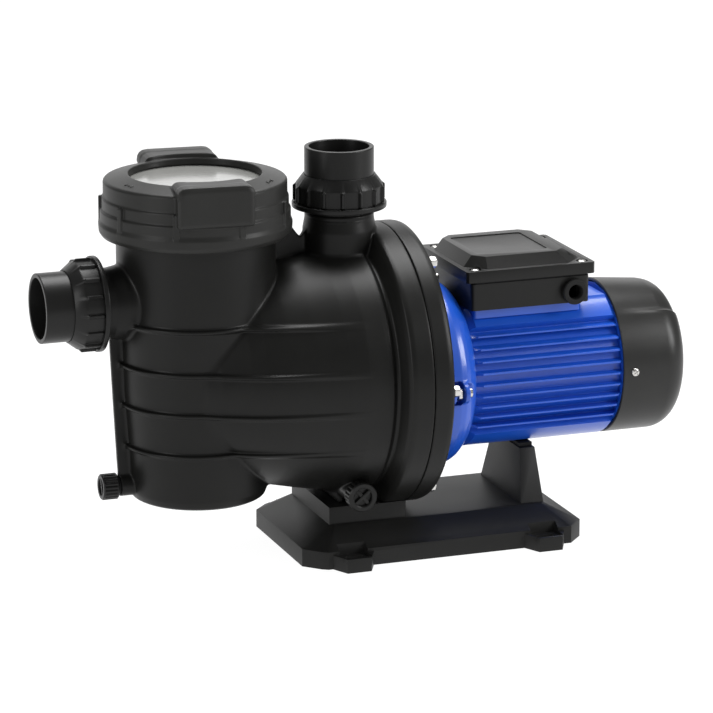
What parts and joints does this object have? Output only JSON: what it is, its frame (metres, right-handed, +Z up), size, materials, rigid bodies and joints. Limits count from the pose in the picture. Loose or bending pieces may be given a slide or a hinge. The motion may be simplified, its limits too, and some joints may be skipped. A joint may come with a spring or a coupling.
{
  "type": "pool pump",
  "caption": "Self-priming pool pump with a strainer pot under a clear screwed lid, threaded pipe unions, a finned motor with a terminal box, and a foot plate.",
  "frame": {"origin": "on the underside of the foot plate, under the axis of the outlet", "axes": "+Z up along the outlet, +X from the strainer pot to the motor's fan along the shaft, so the inlet faces -X"},
  "size_m": [0.5602, 0.238, 0.342],
  "materials": {
    "casing_black": "satin moulded glass-filled plastic",
    "nut_black": "satin moulded plastic",
    "seal_rubber": "matt black rubber",
    "ring_black": "satin moulded plastic",
    "clear_window": "clear moulded plastic",
    "basket_white": "white moulded plastic",
    "stainless": "bright stainless steel",
    "impeller_plastic": "cream moulded plastic",
    "carbon": "smooth grey-black carbon",
    "motor_blue": "blue gloss paint on cast aluminium",
    "lamination": "dark sheet steel",
    "copper_winding": "varnished copper wire",
    "bearing_steel": "ground steel",
    "cover_black": "satin moulded plastic",
    "box_black": "fine-grained moulded plastic",
    "brass_block": "pale moulded plastic",
    "capacitor_grey": "grey moulded plastic",
    "base_black": "fine-grained moulded plastic"
  },
  "bodies": {
    "root": {"pump_body": "casing_black", "seal_plate": "casing_black", "casing_gasket": "seal_rubber", "cable_gland": "seal_rubber", "terminal_seal": "seal_rubber", "motor_pad": "seal_rubber", "casing_bolt_1": "stainless", "casing_bolt_2": "stainless", "casing_bolt_3": "stainless", "casing_bolt_4": "stainless", "casing_bolt_5": "stainless", "casing_bolt_6": "stainless", "flange_bolt_1": "stainless", "flange_bolt_2": "stainless", "flange_bolt_3": "stainless", "flange_bolt_4": "stainless", "cover_screw_1": "stainless", "cover_screw_2": "stainless", "terminal_screw_1": "stainless", "terminal_screw_2": "stainless", "terminal_screw_3": "stainless", "terminal_screw_4": "stainless", "foot_screw_1": "stainless", "foot_screw_2": "stainless", "diffuser": "impeller_plastic", "seal_seat": "carbon", "front_bell": "motor_blue", "motor_housing": "motor_blue", "rear_shield": "motor_blue", "stator_core": "lamination", "front_winding": "copper_winding", "rear_winding": "copper_winding", "front_bearing": "bearing_steel", "rear_bearing": "bearing_steel", "fan_cover": "cover_black", "terminal_box": "box_black", "terminal_lid": "box_black", "terminal_block": "brass_block", "capacitor": "capacitor_grey", "base": "base_black"},
    "rotor": {"motor_shaft": "stainless", "impeller": "impeller_plastic", "impeller_screw": "stainless", "rotor_core": "lamination", "cooling_fan": "cover_black", "seal_head": "carbon"},
    "lid": {"lid_window": "clear_window", "lid_gasket": "seal_rubber"},
    "ring": {"lid_ring": "ring_black"},
    "basket": {"strainer_basket": "basket_white"},
    "inlet_union": {"inlet_tail": "nut_black", "inlet_seal": "seal_rubber"},
    "inlet_collar": {"inlet_nut": "nut_black"},
    "outlet_union": {"outlet_tail": "nut_black", "outlet_seal": "seal_rubber"},
    "outlet_collar": {"outlet_nut": "nut_black"},
    "pot_drain": {"pot_drain_seal": "seal_rubber"},
    "pot_plug": {"pot_drain_plug": "nut_black"},
    "volute_drain": {"volute_drain_seal": "seal_rubber"},
    "volute_plug": {"volute_drain_plug": "nut_black"}
  },
  "joints": [
    {"name": "rotor_spin", "type": "hinge", "parent": "root", "child": "rotor", "pos_m": [0, 0, 0.142], "axis": [1, 0, 0], "continuous": true},
    {"name": "lid_lift", "type": "slide", "parent": "root", "child": "lid", "axis": [0, 0, 1], "range_m": [0, 0.3]},
    {"name": "ring_turn", "type": "hinge", "parent": "lid", "child": "ring", "pos_m": [-0.1255, 0, 0.3], "axis": [0, 0, 1], "range_deg": [0, 360]},
    {"name": "basket_lift", "type": "slide", "parent": "root", "child": "basket", "axis": [0, 0, 1], "range_m": [0, 0.21]},
    {"name": "inlet_nut_turn", "type": "hinge", "parent": "inlet_union", "child": "inlet_collar", "pos_m": [-0.24, 0, 0.225], "axis": [-1, 0, 0], "range_deg": [0, 900]},
    {"name": "inlet_draw", "type": "slide", "parent": "root", "child": "inlet_union", "axis": [-1, 0, 0], "range_m": [0, 0.0101]},
    {"name": "outlet_nut_turn", "type": "hinge", "parent": "outlet_union", "child": "outlet_collar", "pos_m": [0, 0, 0.32], "axis": [0, 0, 1], "range_deg": [0, 900]},
    {"name": "outlet_draw", "type": "slide", "parent": "root", "child": "outlet_union", "axis": [0, 0, 1], "range_m": [0, 0.0101]},
    {"name": "pot_plug_turn", "type": "hinge", "parent": "pot_drain", "child": "pot_plug", "pos_m": [-0.2, 0, 0.068], "axis": [-1, 0, 0], "range_deg": [0, 1440]},
    {"name": "pot_drain_draw", "type": "slide", "parent": "root", "child": "pot_drain", "axis": [-1, 0, 0], "range_m": [0, 0.0081]},
    {"name": "volute_plug_turn", "type": "hinge", "parent": "volute_drain", "child": "volute_plug", "pos_m": [-0.007, -0.07, 0.06], "axis": [0, -1, 0], "range_deg": [0, 1440]},
    {"name": "volute_drain_draw", "type": "slide", "parent": "root", "child": "volute_drain", "axis": [0, -1, 0], "range_m": [0, 0.0081]}
  ],
  "couplings": [
    {"joint": "basket_lift", "follows": "lid_lift", "ratio": 0.7},
    {"joint": "inlet_draw", "follows": "inlet_nut_turn", "m_per_rad": 0.00063662},
    {"joint": "outlet_draw", "follows": "outlet_nut_turn", "m_per_rad": 0.00063662},
    {"joint": "pot_drain_draw", "follows": "pot_plug_turn", "m_per_rad": 0.00031831},
    {"joint": "volute_drain_draw", "follows": "volute_plug_turn", "m_per_rad": 0.00031831}
  ]
}
